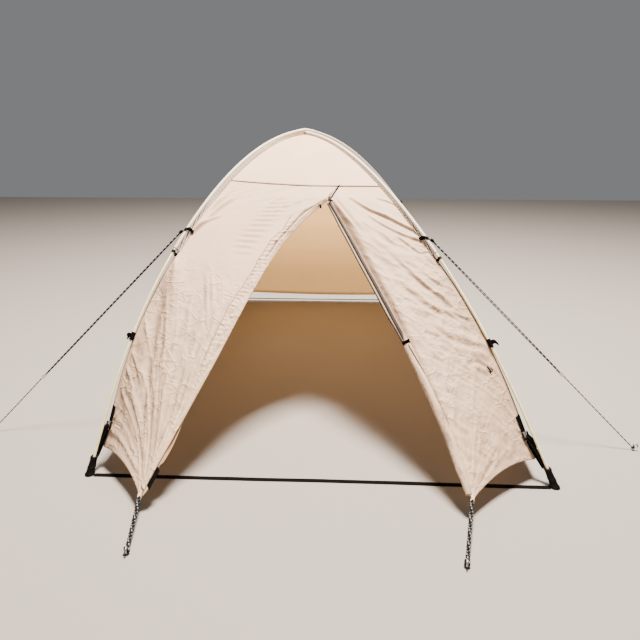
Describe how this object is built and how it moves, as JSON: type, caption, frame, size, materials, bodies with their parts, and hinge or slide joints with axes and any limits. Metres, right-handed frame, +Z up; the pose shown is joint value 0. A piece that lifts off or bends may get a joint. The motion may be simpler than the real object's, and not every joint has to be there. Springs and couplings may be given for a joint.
{
  "type": "crossed pole dome tent with its fly pitched",
  "caption": "Beige two-pole dome tent, fly only, with its front doors opened and staked, held by taut guylines and pegs.",
  "frame": {"origin": "middle of the bounding box of the pitched tent, pegs and lines included, on the ground", "axes": "+Z up, the door faces -Y, -X is the left-hand side seen from the door"},
  "size_m": [2.3728, 3.021, 1.1066],
  "materials": {
    "fly_cloth": "matt coated beige fly cloth",
    "sleeve_cloth": "matt beige pole sleeve cloth",
    "pole": "ivory satin tube",
    "webbing": "black woven webbing",
    "plastic": "black moulded plastic",
    "line": "black cord with reflective flecks",
    "runner": "bright pressed metal",
    "peg": "bare wire"
  },
  "bodies": {
    "root": {"pole_upper": "pole", "pole_lower": "pole", "crown_patch": "sleeve_cloth", "front_canopy": "fly_cloth", "side_left": "fly_cloth", "side_right": "fly_cloth", "back_panel": "fly_cloth", "door_left": "fly_cloth", "door_right": "fly_cloth", "door_fold_left": "fly_cloth", "door_roll_right": "fly_cloth", "door_toggle": "webbing", "sleeve_front_left": "sleeve_cloth", "pole_hook_front_left": "plastic", "pole_wrap_front_left": "webbing", "guy_tab_front_left": "webbing", "foot_socket_front_left": "plastic", "corner_strap_front_left": "webbing", "guyline_front_left": "line", "runner_front_left": "runner", "guy_peg_front_left": "peg", "sleeve_front_right": "sleeve_cloth", "pole_hook_front_right": "plastic", "pole_wrap_front_right": "webbing", "guy_tab_front_right": "webbing", "foot_socket_front_right": "plastic", "corner_strap_front_right": "webbing", "guyline_front_right": "line", "runner_front_right": "runner", "guy_peg_front_right": "peg", "sleeve_back_left": "sleeve_cloth", "pole_hook_back_left": "plastic", "pole_wrap_back_left": "webbing", "guy_tab_back_left": "webbing", "foot_socket_back_left": "plastic", "corner_strap_back_left": "webbing", "guyline_back_left": "line", "runner_back_left": "runner", "guy_peg_back_left": "peg", "sleeve_back_right": "sleeve_cloth", "pole_hook_back_right": "plastic", "pole_wrap_back_right": "webbing", "guy_tab_back_right": "webbing", "foot_socket_back_right": "plastic", "corner_strap_back_right": "webbing", "guyline_back_right": "line", "runner_back_right": "runner", "guy_peg_back_right": "peg", "door_cord_left": "line", "door_peg_left": "peg", "door_cord_right": "line", "door_peg_right": "peg", "ground_strap_front": "webbing", "ground_strap_back": "webbing"}
  },
  "joints": []
}
